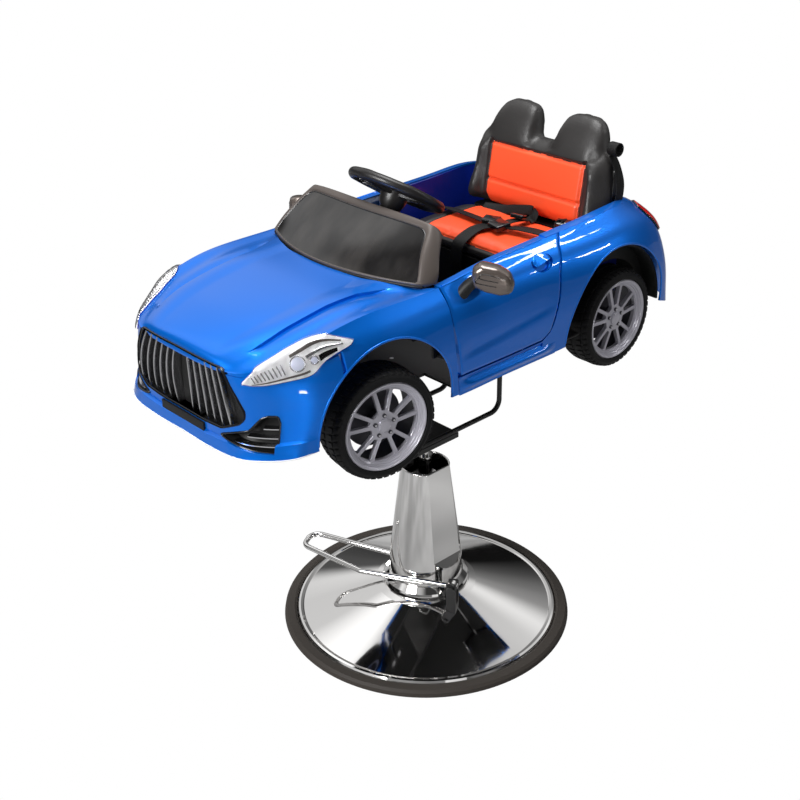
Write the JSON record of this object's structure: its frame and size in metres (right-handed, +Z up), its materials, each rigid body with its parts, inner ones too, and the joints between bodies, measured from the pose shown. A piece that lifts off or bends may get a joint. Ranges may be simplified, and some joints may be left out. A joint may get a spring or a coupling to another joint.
{
  "type": "kids' car barber chair",
  "caption": "Child's styling chair: a ride-on style convertible car body with seat, doors and steering, on a round chrome hydraulic pump base with a foot pedal.",
  "frame": {"origin": "middle of the base's underside, on the pump's axis", "axes": "+Z up, the car looks along -Y, +X towards the car's left side"},
  "size_m": [0.5999, 1.021, 1.0039],
  "materials": {
    "chrome": "polished",
    "black_steel": "satin",
    "bright_steel": "brushed",
    "bronze": "satin",
    "rubber": "matt",
    "tyre": "matt",
    "rim_silver": "satin",
    "car_blue": "metallic gloss",
    "trim_black": "matt",
    "frame_grey": "satin",
    "smoked_panel": "gloss",
    "clear_lens": "gloss",
    "red_lens": "gloss",
    "bright_trim": "polished",
    "black_leather": "satin",
    "red_leather": "satin",
    "webbing": "woven",
    "grip_black": "grained"
  },
  "bodies": {
    "base": {"base_plate": "black_steel", "rubber_ring": "rubber", "base_dome": "chrome", "pump_collar": "chrome", "pump_cylinder": "black_steel", "pump_cover": "chrome", "guide_bush": "bronze", "pedal_pivot": "black_steel"},
    "pedal": {"foot_pedal": "chrome"},
    "piston": {"piston_rod": "chrome"},
    "car": {"seat_plate": "black_steel", "cradle_left": "black_steel", "cradle_right": "black_steel", "cradle_bolts": "bright_steel", "chassis": "trim_black", "front_beam": "black_steel", "rear_axle": "bright_steel", "front_shell": "car_blue", "rear_shell": "car_blue", "side_skirts": "car_blue", "front_bumper": "car_blue", "grille": "trim_black", "grille_slats": "bright_trim", "plate_blank": "trim_black", "intakes": "trim_black", "headlights": "clear_lens", "tail_lights": "red_lens", "windscreen_frame": "frame_grey", "windscreen_panel": "smoked_panel", "dashboard": "trim_black", "steering_column": "trim_black", "seat_shell": "trim_black", "seat_back": "black_leather", "seat_base": "red_leather", "harness": "webbing", "buckle": "trim_black", "door_hinges": "black_steel"},
    "steering": {"steering_wheel": "grip_black", "steering_shaft": "bright_steel"},
    "horn": {"horn_button": "bright_trim"},
    "knuckle_l": {"knuckle_left": "black_steel"},
    "knuckle_r": {"knuckle_right": "black_steel"},
    "tie": {"tie_rod": "black_steel"},
    "wheel_fl": {"tyre_front_left": "tyre", "rim_front_left": "rim_silver", "cap_front_left": "rim_silver"},
    "wheel_fr": {"tyre_front_right": "tyre", "rim_front_right": "rim_silver", "cap_front_right": "rim_silver"},
    "wheel_rl": {"tyre_rear_left": "tyre", "rim_rear_left": "rim_silver", "cap_rear_left": "rim_silver"},
    "wheel_rr": {"tyre_rear_right": "tyre", "rim_rear_right": "rim_silver", "cap_rear_right": "rim_silver"},
    "door_l": {"door_left": "car_blue", "mirror_left": "frame_grey"},
    "door_r": {"door_right": "car_blue", "mirror_right": "frame_grey"}
  },
  "joints": [
    {"name": "pedal_hinge", "type": "hinge", "parent": "base", "child": "pedal", "pos_m": [0.11067, -0.03227, 0.122], "axis": [0.497, -0.8678, 0], "range_deg": [0, 9.5], "stiffness_Nm_per_rad": 12, "springref_deg": -14.32},
    {"name": "lift", "type": "slide", "parent": "base", "child": "piston", "axis": [0, 0, 1], "range_m": [0, 0.12]},
    {"name": "swivel", "type": "hinge", "parent": "piston", "child": "car", "pos_m": [0, 0, 0.42], "axis": [0, 0, 1], "continuous": true},
    {"name": "steering", "type": "hinge", "parent": "car", "child": "steering", "pos_m": [0, -0.065, 0.936], "axis": [0, 0.5446, 0.8387], "range_deg": [-29.2, 70.8]},
    {"name": "horn", "type": "slide", "parent": "steering", "child": "horn", "axis": [0, -0.5446, -0.8387], "range_m": [0, 0.002], "stiffness_N_per_m": 800, "springref_m": -0.003},
    {"name": "kingpin_left", "type": "hinge", "parent": "car", "child": "knuckle_l", "pos_m": [0.146, -0.2985, 0.65], "axis": [0, 0, 1], "range_deg": [-14.61, 35.41]},
    {"name": "kingpin_right", "type": "hinge", "parent": "car", "child": "knuckle_r", "pos_m": [-0.146, -0.2985, 0.65], "axis": [0, 0, 1], "range_deg": [-14.61, 35.41]},
    {"name": "tie_slide", "type": "slide", "parent": "car", "child": "tie", "axis": [1, 0, 0], "range_m": [-0.0275, 0.0115]},
    {"name": "front_left_spin", "type": "hinge", "parent": "knuckle_l", "child": "wheel_fl", "pos_m": [0.24141, -0.31601, 0.6485], "axis": [0.9836, -0.1805, 0], "continuous": true},
    {"name": "front_right_spin", "type": "hinge", "parent": "knuckle_r", "child": "wheel_fr", "pos_m": [-0.24141, -0.28099, 0.6485], "axis": [0.9836, -0.1805, 0], "continuous": true},
    {"name": "rear_left_spin", "type": "hinge", "parent": "car", "child": "wheel_rl", "pos_m": [0.238, 0.29, 0.6485], "axis": [1, 0, 0], "continuous": true},
    {"name": "rear_right_spin", "type": "hinge", "parent": "car", "child": "wheel_rr", "pos_m": [-0.238, 0.29, 0.6485], "axis": [1, 0, 0], "continuous": true},
    {"name": "door_left_hinge", "type": "hinge", "parent": "car", "child": "door_l", "pos_m": [0.236, -0.13, 0.7], "axis": [0, 0, -1], "range_deg": [0, 50]},
    {"name": "door_right_hinge", "type": "hinge", "parent": "car", "child": "door_r", "pos_m": [-0.236, -0.13, 0.7], "axis": [0, 0, 1], "range_deg": [0, 50]}
  ],
  "couplings": [
    {"joint": "kingpin_left", "follows": "steering", "ratio": 0.5},
    {"joint": "kingpin_right", "follows": "steering", "ratio": 0.5},
    {"joint": "tie_slide", "follows": "steering", "m_per_rad": -0.02177}
  ]
}
